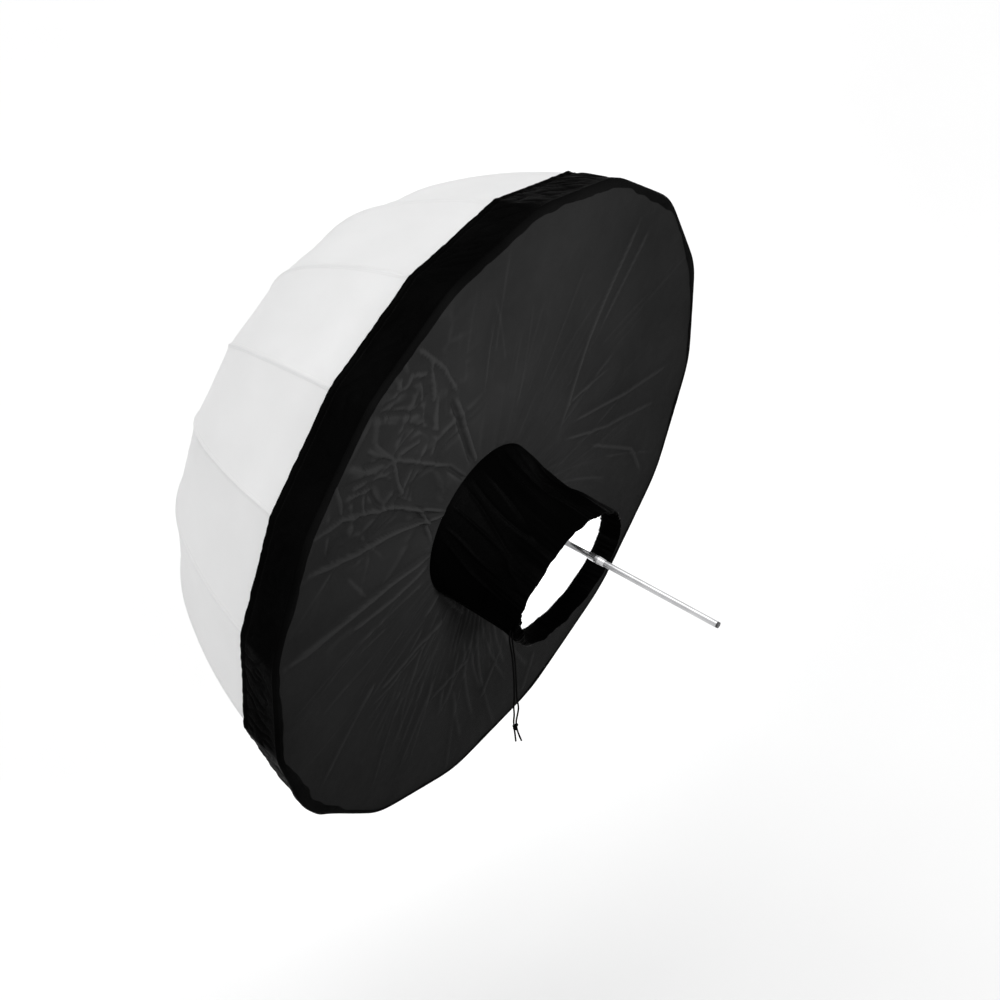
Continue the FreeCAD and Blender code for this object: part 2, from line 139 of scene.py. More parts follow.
def skin(name, grid, outside, materials, body, closed=False, rows_of_second=None, normals=None):
    """A mesh over a grid of points, facing the outside vectors.

    Rows from rows_of_second on take the second material."""
    rows, columns = grid.shape[:2]
    faces = grid_faces(rows, columns, closed)
    faces_out = (grid_normals(grid, closed) * outside).sum() > 0
    if not faces_out:
        faces = [face[::-1] for face in faces]
    mesh = bpy.data.meshes.new(name)
    mesh.from_pydata(grid.reshape(-1, 3).tolist(), [], faces)
    mesh.polygons.foreach_set("use_smooth", [True] * len(faces))
    for material in materials:
        mesh.materials.append(material)
    if rows_of_second is not None:
        per_row = columns if closed else columns - 1
        index = [0] * (rows_of_second * per_row)
        mesh.polygons.foreach_set("material_index", index + [1] * (len(faces) - len(index)))
    mesh.update()
    if normals is not None:
        mesh.normals_split_custom_set_from_vertices(normals.reshape(-1, 3).tolist())
    piece = bpy.data.objects.new(name, mesh)
    scene.collection.objects.link(piece)
    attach(piece, body)
    return piece


def record_on(piece, name, values):
    """Keep a number for every point of a mesh, for its material to read."""
    attribute = piece.data.attributes.new(name, "FLOAT", "POINT")
    attribute.data.foreach_set("value", np.ascontiguousarray(values, np.float32).ravel())


def noise_at(x, y, z, seed):
    """Smooth noise from -1 to 1 at arrays of coordinates."""
    flat = np.broadcast_arrays(x, y, z)
    shift = 17.3 * seed
    triples = zip(*(a.ravel() for a in flat))
    found = [noise.noise((a + shift, b - shift, c + 0.37 * shift)) for a, b, c in triples]
    return np.array(found).reshape(flat[0].shape)


def creases(x, y, z, seed):
    """Noise folded into ridges: 1 on a crease, falling to 0 between creases."""
    return 1 - np.clip(np.abs(noise_at(x, y, z, seed)) * 2.6, 0, 1)


def facets(x, y, seed):
    """Crumpled cloth: straight creases between flat cells. 1 on a crease and 0 in a cell."""
    shift = 9.1 * seed
    found = []
    for a, b in zip(x.ravel(), y.ravel()):
        near = noise.voronoi((a + shift, b - shift, shift))[0]
        found.append(near[1] - near[0])
    return np.exp(-(np.array(found).reshape(x.shape) / 0.16) ** 2)


def smooth_step(value, low, high):
    t = np.clip((value - low) / (high - low), 0, 1)
    return t * t * (3 - 2 * t)


def bump_at(value, centre, width):
    return np.exp(-((value - centre) / width) ** 2)


def turned_from(angle, centre):
    """Angles measured from the centre one, between half a turn back and half a turn on."""
    return (angle - centre + math.pi) % math.tau - math.pi


def oval(centre, half, angles):
    """A ring of points (x, z) on an oval with these half widths."""
    return np.stack([centre[0] + half[0] * np.cos(angles), centre[1] + half[1] * np.sin(angles)], 1)


def grown(ring, distance):
    """A ring of points (x, z) moved away from the shaft's line by a distance."""
    return ring * (1 + distance / np.linalg.norm(ring, axis=1, keepdims=True))


def level(ring, y):
    """A ring of points (x, z) at one height, as a row of a grid."""
    return np.stack([ring[:, 0], np.full(len(ring), y), ring[:, 1]], 1)


# ---- helpers: materials ----

class Nodes:
    """A material's node tree, with short ways to add to it."""

    def __init__(self, name):
        self.material = bpy.data.materials.new(name)
        self.material.use_nodes = True
        self.tree = self.material.node_tree
        self.shader = self.tree.nodes["Principled BSDF"]
        self.place = self.add("ShaderNodeTexCoord").outputs["Object"]

    def add(self, kind, **values):
        node = self.tree.nodes.new(kind)
        for key, value in values.items():
            setattr(node, key, value)
        return node

    def link(self, source, target):
        self.tree.links.new(source, target)

    def noise(self, scale, detail=3.0, stretch=(1, 1, 1), roughness=0.5):
        mapping = self.add("ShaderNodeMapping")
        mapping.inputs["Scale"].default_value = stretch
        self.link(self.place, mapping.inputs["Vector"])
        node = self.add("ShaderNodeTexNoise")
        node.inputs["Scale"].default_value = scale
        node.inputs["Detail"].default_value = detail
        node.inputs["Roughness"].default_value = roughness
        self.link(mapping.outputs["Vector"], node.inputs["Vector"])
        return node.outputs["Fac"]

    def threads(self, scale, turn):
        """One set of parallel threads."""
        mapping = self.add("ShaderNodeMapping")
        mapping.inputs["Rotation"].default_value = turn
        self.link(self.place, mapping.inputs["Vector"])
        node = self.add("ShaderNodeTexWave", bands_direction="X")
        node.inputs["Scale"].default_value = scale
        node.inputs["Distortion"].default_value = 0.6
        node.inputs["Detail"].default_value = 1.0
        self.link(mapping.outputs["Vector"], node.inputs["Vector"])
        return node.outputs["Fac"]

    def attribute(self, name):
        return self.add("ShaderNodeAttribute", attribute_name=name).outputs["Fac"]

    def ramp(self, value, stops):
        node = self.add("ShaderNodeValToRGB")
        ramp = node.color_ramp
        while len(ramp.elements) < len(stops):
            ramp.elements.new(0.5)
        for element, (position, colour) in zip(ramp.elements, stops):
            element.position = position
            element.color = (*colour, 1) if hasattr(colour, "__len__") else (colour, colour, colour, 1)
        self.link(value, node.inputs["Fac"])
        return node.outputs["Color"]

    def math(self, operation, *values):
        node = self.add("ShaderNodeMath", operation=operation)
        for socket, value in zip(node.inputs, values):
            if isinstance(value, (int, float)):
                socket.default_value = value
            else:
                self.link(value, socket)
        return node.outputs["Value"]

    def mix(self, share, first, second):
        """The first colour, turned by this share into the second, which is constant."""
        node = self.add("ShaderNodeMix", data_type="RGBA")
        self.link(share, node.inputs["Factor"])
        self.link(first, node.inputs[6])
        node.inputs[7].default_value = (*second, 1)
        return node.outputs[2]

    def stitches(self, across, along, place, pitch):
        """1 on a row of stitches at this distance across, and 0 elsewhere. All in metres."""
        half_thread, sewn_share = 0.0004, 0.68
        aside = self.math("ABSOLUTE", self.math("SUBTRACT", across, place))
        line = self.math("LESS_THAN", aside, half_thread)
        dash = self.math("LESS_THAN", self.math("FRACT", self.math("DIVIDE", along, pitch)), sewn_share)
        return self.math("MULTIPLY", line, dash)

    def bump(self, *layers):
        """Bump from (height, distance in metres) layers, each on top of the last."""
        normal = None
        for height, distance in layers:
            node = self.add("ShaderNodeBump")
            node.inputs["Strength"].default_value = 1.0
            node.inputs["Distance"].default_value = distance
            self.link(height, node.inputs["Height"])
            if normal is not None:
                self.link(normal, node.inputs["Normal"])
            normal = node.outputs["Normal"]
        self.link(normal, self.shader.inputs["Normal"])
        return normal

    def set(self, **values):
        for key, value in values.items():
            self.shader.inputs[key.replace("_", " ")].default_value = value


STITCH_PITCH = 0.0032


def cloth(name, dark, light, rough, sheen=0.0, weave=900, ior=1.45, creased=0.0, thread=None, lets_light=0.0,
          painted_ridge_sheen=None):
    """Woven nylon: two crossed sets of threads, blotches and fine creases.

    With a thread colour it has a row of stitches, where the mesh records across and along. With a highlight
    colour its folds are painted lighter on top, a painted sheen highlight, where the mesh records ridge."""
    n = Nodes(name)
    colour = n.ramp(n.noise(9, 4), [(0.3, dark), (0.7, light)])
    layers = [(n.noise(240, 2), 0.00010)]
    if weave:
        layers.append((n.math("MULTIPLY", n.threads(weave, (0.3, 0.2, 0.785)),
                              n.threads(weave, (0.9, -0.4, -0.785))), 0.00007))
    if creased:
        layers.insert(0, (n.noise(38, 5, roughness=0.6), creased))
    if thread:
        sewn = n.stitches(n.attribute("across"), n.attribute("along"), 0.0, STITCH_PITCH)
        colour = n.mix(sewn, colour, thread)
        layers.append((sewn, 0.0005))
    # painted highlight: the tops of the folds are painted lighter, standing in for sheen on the ridges
    if painted_ridge_sheen:
        colour = n.mix(n.attribute("ridge"), colour, painted_ridge_sheen)
    n.link(colour, n.shader.inputs["Base Color"])
    n.link(n.ramp(n.noise(60, 3), [(0.3, rough - 0.05), (0.7, rough + 0.06)]), n.shader.inputs["Roughness"])
    normal = n.bump(*layers)
    n.set(Sheen_Weight=sheen, Sheen_Roughness=0.4, IOR=ior)
    if lets_light:
        through = n.add("ShaderNodeBsdfTranslucent")
        n.link(colour, through.inputs["Color"])
        n.link(normal, through.inputs["Normal"])
        both = n.add("ShaderNodeMixShader")
        both.inputs["Fac"].default_value = lets_light
        n.link(n.shader.outputs["BSDF"], both.inputs[1])
        n.link(through.outputs["BSDF"], both.inputs[2])
        n.link(both.outputs["Shader"], n.tree.nodes["Material Output"].inputs["Surface"])
    return n.material


def metal(name, colour, rough, drawn=(1, 1, 1)):
    """Plated steel with fine drawn lines and slight tarnish."""
    n = Nodes(name)
    shade = tuple(c * 0.82 for c in colour)
    n.link(n.ramp(n.noise(30, 4), [(0.35, shade), (0.6, colour)]), n.shader.inputs["Base Color"])
    lines = n.noise(500, 2, stretch=drawn)
    n.link(n.ramp(lines, [(0.3, rough * 0.8), (0.7, rough * 1.3)]), n.shader.inputs["Roughness"])
    n.bump((lines, 0.00002))
    n.set(Metallic=1.0)
    return n.material


def plastic(name, dark, light, rough):
    """Moulded nylon with a fine spark-eroded grain."""
    n = Nodes(name)
    n.link(n.ramp(n.noise(25, 3), [(0.3, dark), (0.7, light)]), n.shader.inputs["Base Color"])
    n.link(n.ramp(n.noise(90, 3), [(0.3, rough - 0.06), (0.7, rough + 0.08)]), n.shader.inputs["Roughness"])
    n.bump((n.noise(900, 2), 0.00006))
    n.set(Specular_IOR_Level=0.45)
    return n.material


def grey(value):
    return (value, value, value)


WHITE_NYLON = cloth("white_nylon", grey(0.88), grey(0.92), 0.55, sheen=0.05, weave=1100, thread=grey(0.97),
                    lets_light=0.22)
LINING_NYLON = cloth("white_lining", grey(0.82), grey(0.88), 0.50, sheen=0.05, creased=0.0012)
# The black fabrics' IOR is far below nylon's, to keep their grazing reflections as dark as the photograph's.
# The satin's fold tops are painted lighter, a painted sheen highlight.
FACE_NYLON = cloth("grey_satin_nylon", grey(0.0060), grey(0.0080), 0.36, ior=1.024, creased=0.0010,
                   painted_ridge_sheen=grey(0.015))
SKIRT_NYLON = cloth("black_nylon", grey(0.0008), grey(0.0022), 0.32, ior=1.016, creased=0.0012,
                    thread=grey(0.006))
SLEEVE_NYLON = cloth("black_soft_nylon", grey(0.0001), grey(0.0003), 0.33, ior=1.028, creased=0.0006,
                     thread=grey(0.005))
CORD_BRAID = cloth("black_braid", grey(0.0005), grey(0.0016), 0.6, weave=2600, ior=1.04)
SHAFT_STEEL = metal("bright_steel", (0.62, 0.62, 0.63), 0.20, drawn=(1, 0.03, 1))
FRAME_STEEL = metal("zinc_steel", (0.60, 0.60, 0.61), 0.30)
HUB_PLASTIC = plastic("hub_plastic", (0.012, 0.012, 0.013), (0.02, 0.02, 0.021), 0.42)


# ---- the drawcord's hanging ends, first of all the pieces ----

EXIT_X = MOUTH_CENTRE[0] / MM - MOUTH_HALF[0] / MM
STRAND_A = [
    (EXIT_X - 1.9, -117.8, -35.6),
    (-132.0, -119.6, -42.5),
    (-133.1, -122.5, -54.8),
    (-131.4, -124.4, -73.9),
    (-129.5, -125.3, -102.5),
    (-128.6, -126.0, -130.8),
    (-128.3, -126.4, -154.1),
    (-129.1, -125.8, -167.8),
    (-128.1, -126.6, -181.5),
    (-129.1, -126.2, -194.6),
    (-128.4, -126.8, -207.7),
    (-127.1, -127.6, -220.7),
    (-126.4, -128.2, -232.7),
]
STRAND_B = [
    (EXIT_X - 1.2, -120.4, -38.2),
    (-129.9, -122.5, -45.7),
    (-131.1, -125.2, -58.0),
    (-129.6, -126.8, -76.8),
    (-128.0, -127.7, -105.1),
    (-127.1, -128.3, -133.0),
    (-126.4, -129.0, -155.8),
    (-124.8, -130.6, -168.9),
    (-125.7, -129.6, -182.5),
    (-127.4, -128.6, -195.0),
    (-126.6, -129.4, -208.1),
    (-124.5, -131.4, -220.7),
    (-122.2, -133.6, -231.6),
]


def nurbs(name, route, radius, material):
    """A round cord along one open spline. Its route is in millimetres from the rim plane's centre."""
    curve = bpy.data.curves.new(name, "CURVE")
    curve.dimensions = "3D"
    curve.bevel_depth = radius
    curve.bevel_resolution = 5
    curve.resolution_u = 12
    curve.use_fill_caps = True
    spline = curve.splines.new("NURBS")
    spline.points.add(len(route) - 1)
    for point, (x, y, z) in zip(spline.points, route):
        point.co = (x * MM, y * MM + RIM_Y, z * MM, 1)
    spline.order_u = 3
    spline.use_endpoint_u = True
    curve.materials.append(material)
    piece = bpy.data.objects.new(name, curve)
    scene.collection.objects.link(piece)
    return piece


def overhand_knot():
    """Both strands tied together: a fat trefoil-like wrap with its loops pulled snug."""
    centre = (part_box("cord_knot")[0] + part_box("cord_knot")[1]) / 2
    points_round = 48
    points = []
    for n in range(points_round):
        t = math.tau * n / points_round
        x = math.sin(t) + 1.15 * math.sin(2 * t)
        y = 0.9 * math.sin(3 * t)
        z = math.cos(t) - 1.15 * math.cos(2 * t)
        points.append(centre + Vector((x * 1.65, y * 1.9, z * 2.3)) * MM)
    curve = bpy.data.curves.new("drawcord_knot", "CURVE")
    curve.dimensions = "3D"
    curve.bevel_depth = CORD_D / 2
    curve.bevel_resolution = 5
    spline = curve.splines.new("NURBS")
    spline.points.add(points_round - 1)
    for point, place in zip(spline.points, points):
        point.co = (*place, 1)
    spline.order_u = 3
    spline.use_cyclic_u = True
    curve.materials.append(CORD_BRAID)
    knot = bpy.data.objects.new("drawcord_knot", curve)
    scene.collection.objects.link(knot)
    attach(knot, "back_cover")
    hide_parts("cord_knot")
    return knot


def drawcord_ends():
    knot = overhand_knot()
    for name, route, length in (("drawcord_end_a", STRAND_A, 0.1996), ("drawcord_end_b", STRAND_B, 0.1960)):
        strand = nurbs("cord_" + name[-1], route, CORD_D / 2, CORD_BRAID)
        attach(strand, "back_cover")
        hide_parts(name)


drawcord_ends()


# ---- the dome's fabric ----

def arcs(rim_r, shoulder_r):
    """The profile's arcs from the rim: each one's centre r and y, radius, first lean and last lean."""
    run = [math.cos(b) - math.cos(a) for a, b in zip(LEANS, LEANS[1:])]
    rise = [math.sin(b) - math.sin(a) for a, b in zip(LEANS, LEANS[1:])]
    left_r, left_y = -rim_r - shoulder_r * run[1], DEPTH - shoulder_r * rise[1]
    det = run[0] * rise[2] - run[2] * rise[0]
    side_r = (left_r * rise[2] - run[2] * left_y) / det
    crown_r = (run[0] * left_y - left_r * rise[0]) / det
    found, r, y = [], rim_r, 0.0
    for radius, first, last in zip((side_r, shoulder_r, crown_r), LEANS, LEANS[1:]):
        cr, cy = r - radius * math.cos(first), y - radius * math.sin(first)
        found.append((cr, cy, radius, first, last))
        r, y = cr + radius * math.cos(last), cy + radius * math.sin(last)
    return found


def along_profile(rim_r, shoulder_r, shares):
    """Points (r, y) and outward normals at shares of the profile's length, from the rim to the crown."""
    parts = arcs(rim_r, shoulder_r)
    lengths = np.array([radius * (last - first) for _, _, radius, first, last in parts])
    ends = np.cumsum(lengths)
    wanted = np.clip(shares, 0, 1) * ends[-1]
    which = np.minimum(np.searchsorted(ends, wanted), len(parts) - 1)
    into = wanted - (ends - lengths)[which]
    cr, cy, radius, first = (np.array([part[k] for part in parts])[which] for k in range(4))
    lean = first + into / radius
    points = np.stack([cr + radius * np.cos(lean), cy + radius * np.sin(lean)], 1)
    return points, np.stack([np.cos(lean), np.sin(lean)], 1), ends[-1]


ZONES = 10                           # strips along a gore
ROWS_PER_ZONE = 14
SHARES = np.linspace(0, 0.985, ZONES * ROWS_PER_ZONE + 1)
SEAM = np.array([0.0, 1.2, 2.4, 3.4, 4.6]) * MM      # columns beside the seam, from the rib
OPEN = np.linspace(0, 1, 12)[1:]                     # columns on the open fabric, as shares of what is left
STITCHES_BESIDE_RIB = 2.9 * MM
SLACK = 0.0035                       # how far a gore's middle sinks, as a share of the radius there
PROFILE, PROFILE_NORMAL, PROFILE_LENGTH = along_profile(RIM_R * math.cos(HALF), GORE_SHOULDER, SHARES)


def seam_offsets(half_width):
    """Distances from the rib of one side's columns, where the gore is this wide from rib to middle."""
    seam = np.minimum(SEAM, half_width * np.linspace(0, 0.4, len(SEAM)))
    return np.concatenate([seam, seam[-1] + (half_width - seam[-1]) * OPEN])


def gore_side(rib, side):
    """The fabric from one rib to the middle of the gore beside it: points, and distances from the rib."""
    middle = HALF + PITCH * rib + side * HALF
    out = np.array([math.cos(middle), 0, math.sin(middle)])
    to_rib = np.array([math.sin(middle), 0, -math.cos(middle)]) * side
    rows, offsets = [], []
    for (r, y), (nr, ny) in zip(PROFILE, PROFILE_NORMAL):
        half_width = r * math.tan(HALF)
        offset = seam_offsets(half_width)
        across = half_width - offset
        v = across / half_width
        normal = out * nr + np.array([0, ny, 0])
        slack = SLACK * r * (1 - v * v)
        over_rib = 0.9 * MM * bump_at(offset, 0, 1.4 * MM)
        doubled = 0.5 * MM * (1 - smooth_step(offset, 3.0 * MM, 4.4 * MM))
        row = out * r + np.array([0, RIM_Y + y, 0])
        rows.append(row + across[:, None] * to_rib + (over_rib + doubled - slack)[:, None] * normal)
        offsets.append(offset)
    return np.array(rows), np.array(offsets)


def canopy_grid():
    """The whole dome as one closed grid, with each rib's columns from one gore's middle to the next's."""
    strips, offsets = [], []
    for rib in range(GORES):
        low, low_offset = gore_side(rib, -1)
        high, high_offset = gore_side(rib, 1)
        strips.append(np.concatenate([low[:, ::-1], high[:, 1:]], axis=1)[:, :-1])
        offsets.append(np.concatenate([low_offset[:, ::-1], high_offset[:, 1:]], axis=1)[:, :-1])
    grid, offset = np.concatenate(strips, axis=1), np.concatenate(offsets, axis=1)
    outside = grid - np.array([0, RIM_Y, 0])
    normals = outward_normals(grid, True, outside)
    angle = np.arctan2(grid[..., 2], grid[..., 0])
    length = (SHARES * PROFILE_LENGTH)[:, None]
    near_rim = np.exp(-length / 0.15)
    near_crown = np.exp(-(PROFILE_LENGTH - length) / 0.10)
    open_cloth = smooth_step(offset, 4 * MM, 18 * MM)
    x, z = np.cos(angle), np.sin(angle)
    # soft waves along the gores, pulls that start at the skirt, and small puckers beside the seams
    waves = noise_at(x * 5.5, length * 2.2, z * 5.5, 1) * (0.5 + 1.0 * near_rim)
    pulls = creases(x * 8, length * 3 + x, z * 8, 3) ** 2 * (0.25 + 0.9 * near_rim)
    beside = noise_at(x * 9, length * 60, z * 9, 5) * 0.35 * bump_at(offset, 6 * MM, 6 * MM)
    puckers = noise_at(x * 20, length * 9, z * 20, 6) * 0.8 * near_crown
    fine = noise_at(grid[..., 0] * 38, grid[..., 1] * 22, grid[..., 2] * 38, 4) * 0.16
    height = ((waves + pulls + puckers + fine) * open_cloth + beside) * MM
    return grid + height[..., None] * normals, outside, offset


def canopy():
    """The dome's fabric, cut into ten strips on each rib, each strip riding on its rib."""
    grid, outside, offset = canopy_grid()
    rows, columns = grid.shape[:2]
    normals = outward_normals(grid, True, outside)
    per_rib = columns // GORES
    along = np.broadcast_to((SHARES * PROFILE_LENGTH)[:, None], (rows, per_rib + 1))
    for rib in range(GORES):
        take = [(rib * per_rib + c) % columns for c in range(per_rib + 1)]
        for zone in range(ZONES):
            part = slice(zone * ROWS_PER_ZONE, (zone + 1) * ROWS_PER_ZONE + 1)
            body = "rib_%02d" % (rib + 1)
            name = "gore_strip_%02d_%02d" % (rib + 1, zone + 1)
            strip = skin(name, grid[part][:, take], outside[part][:, take], [WHITE_NYLON], body,
                         normals=normals[part][:, take])
            record_on(strip, "across", offset[part][:, take] - STITCHES_BESIDE_RIB)
            record_on(strip, "along", along[part])
            if rib == 0 and zone == 0:
                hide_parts("canopy")
            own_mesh(strip)


canopy()


# ---- the back cover ----

PER_SIDE = 54
COLUMNS = GORES * PER_SIDE
RIM_CORNER = FACE_R + 0.5 * MM
RIM_ROUND = FACE_R - 2.6 * MM
FACE_INSET = 5.5 * MM                 # from the rim's ring in to the face's edge


def rim_ring(round_r):
    """Points (x, z) round the sixteen-sided cover. Its corners are rounded off at round_r."""
    points = []
    flat = RIM_CORNER * math.cos(HALF)
    soft = 1.2 * MM
    for side in range(GORES):
        for c in range(PER_SIDE):
            phi = -HALF + PITCH * c / PER_SIDE
            straight = flat / math.cos(phi)
            r = -soft * math.log(math.exp(-straight / soft) + math.exp(-round_r / soft))
            points.append((r * math.cos(PITCH * side + phi), r * math.sin(PITCH * side + phi)))
    return np.array(points)


# The skirt's section, in mm out from the rim's ring and up from the rim plane.
LAP = [(-13.0, -2.2), (-10.5, -2.7), (-8.0, -2.8)]       # on the face
ROLL = 5.0                                               # radius of the turn over the rim
ROLL_Y = 2.4
SIDE = (4, 55)                                           # lowest and highest points of the open side
DRAWN_IN = 0.9                                           # by the hem's elastic
HEM_Y = 60
HEM_EDGE = [(0.1, 56.4), (0.3, 58.2), (0.3, 60.4), (0.0, 62.4), (-0.9, 63.8), (-2.2, 64.2), (-3.4, 63.2),
            (-4.4, 60.3), (-4.8, 56.5)]                  # out from the side's line at HEM_Y
HEM_STITCHES_Y = 53.3
BAG_ANGLE = math.radians(-153)                           # low on the -X side


def skirt_rows():
    """A band over the rim, from its seam on the face round onto the dome, before it has folds."""
    slope = (SKIRT_R - FACE_R) / SKIRT_DEPTH
    turn = np.radians(np.linspace(-100, 0, 9))
    section = LAP + [(-ROLL + ROLL * math.cos(a), ROLL_Y + ROLL * math.sin(a)) for a in turn]
    section += [(slope * y - DRAWN_IN * smooth_step(y, 38, 55), y) for y in np.linspace(*SIDE, 30)]
    section += [(slope * HEM_Y - DRAWN_IN + r, y) for r, y in HEM_EDGE]
    rows = []
    for shift, y in section:
        back = min(max(y * MM / SKIRT_DEPTH, 0), 1)
        ring = rim_ring(RIM_ROUND + back * 8 * MM)
        rows.append(level(grown(ring, shift * MM), RIM_Y + y * MM))
    return np.array(rows)


def skirt_folds(x, z, depth):
    """How far the skirt's puckers, drape and folds sink, in mm, by direction from the shaft and depth."""
    inside_edge = smooth_step(depth, 0.02, 0.3)
    pucker = noise_at(x * 52, depth * 1.1, z * 52, 11) * (0.1 + 0.8 * np.clip(depth, 0, 1) ** 2)
    drape = noise_at(x * 15, depth * 1.8 + x * 2, z * 15, 12) * 1.8 * inside_edge
    drape *= np.clip(1.15 - depth, 0, 1)
    folds = creases(x * 24 + depth * 2, depth * 2.4 + z * 2, z * 24, 13) ** 2 * 1.4 * inside_edge
    return pucker + drape + folds * (1 - smooth_step(depth, 0.82, 0.97))


def skirt_bag(x, z, depth, beside):
    """How far the band bags outwards between two ribs, in mm. Beside is the angle from the bag's middle."""
    bag = 7.0 * bump_at(beside, 0, 0.16) * np.clip(1.1 - depth, 0, 1)
    bag += 1.6 * noise_at(x * 12, depth, z * 12, 16)
    return bag * bump_at(beside, 0, 0.30) * smooth_step(depth * SKIRT_DEPTH, -2.6 * MM, 2 * MM)


def uneven_front(grid, x, z):
    """Draw the lap in by different amounts, so that in places the satin comes out nearly to the rim."""
    narrow = 0.30 + 1.1 * noise_at(x * 5, 0.3, z * 5, 14) + 0.5 * noise_at(x * 17, 0.3, z * 17, 15)
    narrow = np.clip(narrow + 0.8 * smooth_step(-z, 0.45, 0.85), 0, 0.9)
    for row, (out, _) in enumerate(LAP):
        grid[row][:, [0, 2]] = grown(grid[row][:, [0, 2]], (narrow * (-out * MM - FACE_INSET))[:, None])


def skirt():
    """The skirt with its folds, a bag low on one side and an uneven front edge."""
    grid = skirt_rows()
    outside = grid * np.array([1, 0, 1])
    normals = outward_normals(grid, True, outside)
    angle = np.arctan2(grid[..., 2], grid[..., 0])
    x, z = np.cos(angle), np.sin(angle)
    depth = (grid[..., 1] - RIM_Y) / SKIRT_DEPTH
    beside_bag = turned_from(angle, BAG_ANGLE)
    height = skirt_folds(x, z, depth) - skirt_bag(x, z, depth, beside_bag)
    grid = grid - (height * MM)[..., None] * normals
    # the hem is slack at the bag too, and stands off the dome
    slack = 3.6 * MM * bump_at(beside_bag, 0.05, 0.6) * smooth_step(depth, 0.3, 0.85)
    grid += slack[..., None] * np.stack([x, np.full_like(x, 0.7), z], -1)
    uneven_front(grid, x[0], z[0])
    band = skin("cover_skirt", grid, outside, [SKIRT_NYLON], "back_cover", closed=True)
    record_on(band, "across", grid[..., 1] - RIM_Y - HEM_STITCHES_Y * MM)
    record_on(band, "along", np.broadcast_to(angle * FACE_R, grid.shape[:2]))
    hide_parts("panel_skirt", "skirt_elastic")


def random_folds(count, seed):
    """Folds that run out over the face: each one's angle, start, end, width, height and drift.

    Start, end and drift are for a share of 1 of the way from the sleeve to the rim."""
    rng = np.random.default_rng(seed)
    folds = []
    for _ in range(count):
        side = rng.choice(3, p=(0.62, 0.14, 0.24))
        where = (rng.normal(-95, 42), rng.normal(25, 30), rng.uniform(-180, 180))[side]
        start = rng.uniform(0, 0.6) ** 1.2
        length = rng.uniform(0.12, 0.55)
        tall = (rng.uniform(0.5, 1.7), rng.uniform(0.2, 0.6), rng.uniform(0.15, 0.6))[side]
        width, drift = rng.uniform(1.5, 3.6), rng.normal(0, 0.22)
        folds.append((math.radians(where), start, start + length, width, tall, drift))
    return folds


def crumple_lines(count, seed):
    """Short straight creases, both standing and sunk, round the middle of the crumpled patch."""
    rng = np.random.default_rng(seed)
    lines = []
    for _ in range(count):
        middle = np.array([rng.normal(-200, 70), rng.normal(215, 80)])
        turn = rng.uniform(0, math.pi)
        reach = rng.uniform(16, 62) * np.array([math.cos(turn), math.sin(turn)])
        width, tall = rng.uniform(2.4, 4.2), rng.choice((-1, 1)) * rng.uniform(0.7, 2.2)
        lines.append(([middle - reach, middle + reach], width, tall))
    return lines


# Folds that stand out on the face, or sink in it, as lines of (x, z) in mm. Each has its width in mm, and its
# height in mm before FOLD_SCALE.
FOLD_SCALE = 1.5
STANDING_FOLDS = [
    ([(-105, 85), (-210, 175), (-295, 225), (-350, 235)], 3.4, 3.2),
    ([(-110, 85), (-190, 120), (-265, 145), (-355, 185)], 3.6, 3.8),
    ([(-135, 40), (-220, 50), (-295, 55), (-405, 70)], 4.0, 3.8),
    ([(-145, 25), (-210, 20), (-285, 25)], 3.0, 2.4),
    ([(-120, 75), (-230, 140), (-330, 200)], 20.0, -4.0), ([(-140, 30), (-250, 38), (-340, 45)], 8.0, -1.8),
    ([(-150, 380), (-105, 315), (-80, 255)], 3.0, 2.2), ([(-170, 335), (-220, 340)], 3.0, -2.0),
    ([(-230, 340), (-145, 275)], 3.0, -2.2), ([(-90, 255), (-60, 125)], 3.0, -2.6),
    ([(-80, 245), (-52, 120)], 3.0, 2.4),
    ([(-130, 350), (-125, 275)], 2.8, 1.8), ([(-240, 305), (-205, 250), (-100, 155)], 3.0, 2.2),
    ([(-205, 250), (-140, 255)], 3.0, -2.0), ([(-190, 245), (-150, 235)], 2.8, 1.8),
    ([(-205, 250), (-190, 175)], 3.2, 2.2),
    ([(-205, 250), (-260, 280)], 2.8, -1.8), ([(-250, 300), (-205, 250)], 2.8, 1.8),
    ([(-170, 145), (-150, 110), (-140, 60)], 3.2, 3.0), ([(-105, 155), (-70, 105)], 3.0, -2.4),
    ([(-290, 255), (-240, 230)], 2.8, 1.8), ([(-245, 230), (-225, 180)], 2.8, -2.0),
    ([(-305, 290), (-295, 230)], 2.8, 1.8),
    ([(-185, 335), (-165, 350), (-135, 330)], 2.8, 2.0),
    ([(120, 30), (185, 140), (290, 255)], 3.0, 1.5), ([(155, 20), (270, -25), (365, -50)], 3.0, 1.5),
    ([(135, 5), (230, -50), (340, -95)], 2.8, 1.3), ([(210, 135), (310, 225)], 2.6, 1.1),
    ([(195, -55), (290, -140), (315, -200)], 2.8, 1.4), ([(-55, -225), (-135, -235)], 2.8, 1.3),
    ([(10, -275), (-30, -330)], 2.6, 1.2), ([(85, -345), (60, -400)], 2.6, 1.2),
    ([(-115, -95), (-235, -125)], 3.0, 1.8),
    ([(-160, -65), (-125, -40), (-75, -125)], 3.0, 2.2),
]


def standing_fold(x, z, line, width, tall):
    """The height that one such fold adds at coordinates in mm. It fades out at its two ends."""
    corners = np.array(line, float)
    found = np.zeros_like(x)
    steps = np.linalg.norm(np.diff(corners, axis=0), axis=1)
    whole, before = steps.sum(), 0.0
    for start, end, step in zip(corners, corners[1:], steps):
        run = (end - start) / step
        along = (x - start[0]) * run[0] + (z - start[1]) * run[1]
        aside = (x - start[0]) * -run[1] + (z - start[1]) * run[0]
        beyond = along - np.clip(along, 0, step)
        place = (before + np.clip(along, 0, step)) / whole
        fade = np.clip(np.minimum(place, 1 - place) / 0.12, 0.15, 1)
        found = np.maximum(found, fade * np.exp(-(np.hypot(aside, beyond) / width) ** 2))
        before += step
    return tall * found
